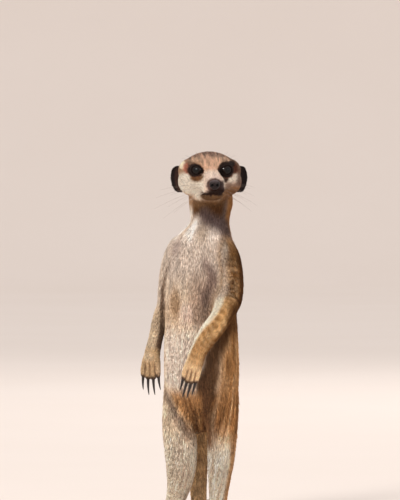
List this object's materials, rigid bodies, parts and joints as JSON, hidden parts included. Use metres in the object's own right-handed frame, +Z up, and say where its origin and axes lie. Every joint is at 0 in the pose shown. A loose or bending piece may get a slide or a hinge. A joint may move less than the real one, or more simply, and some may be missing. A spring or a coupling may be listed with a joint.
{
  "type": "meerkat model",
  "caption": "Life-size still model of a meerkat standing upright on its hind feet and tail, head turned slightly to its left, one forearm across the belly.",
  "frame": {"origin": "centre of the model's bounding box, at the floor under the soles", "axes": "+Z up, the animal faces -Y, its left side is +X"},
  "size_m": [0.0926, 0.2338, 0.3191],
  "materials": {
    "pale_fur": "short soft fur, cream grey",
    "tan_fur": "short soft fur, grizzled tan",
    "brown_fur": "short soft fur, streaked brown",
    "dark_fur": "very short dark brown fur",
    "eye": "polished, dark brown",
    "nose": "moist pebbled skin",
    "claw": "satin horn"
  },
  "bodies": {
    "root": {"claw_foot_l_1": "claw", "claw_foot_l_2": "claw", "claw_foot_l_3": "claw", "claw_foot_l_4": "claw", "claw_foot_r_1": "claw", "claw_foot_r_2": "claw", "claw_foot_r_3": "claw", "claw_foot_r_4": "claw", "claw_hand_l_1": "claw", "claw_hand_l_2": "claw", "claw_hand_l_3": "claw", "claw_hand_l_4": "claw", "claw_hand_r_1": "claw", "claw_hand_r_2": "claw", "claw_hand_r_3": "claw", "claw_hand_r_4": "claw", "ear_l": "dark_fur", "ear_r": "dark_fur", "eye_l": "eye", "eye_r": "eye", "foot_l": "tan_fur", "foot_r": "tan_fur", "forearm_l": "tan_fur", "forearm_r": "tan_fur", "hand_l": "tan_fur", "hand_r": "tan_fur", "head": "pale_fur", "neck": "pale_fur", "nose": "nose", "shank_l": "tan_fur", "shank_r": "tan_fur", "tail_1": "tan_fur", "tail_2": "tan_fur", "tail_3": "tan_fur", "tail_4": "dark_fur", "thigh_l": "brown_fur", "thigh_r": "brown_fur", "trunk": "pale_fur", "upper_arm_l": "tan_fur", "upper_arm_r": "tan_fur"}
  },
  "joints": []
}
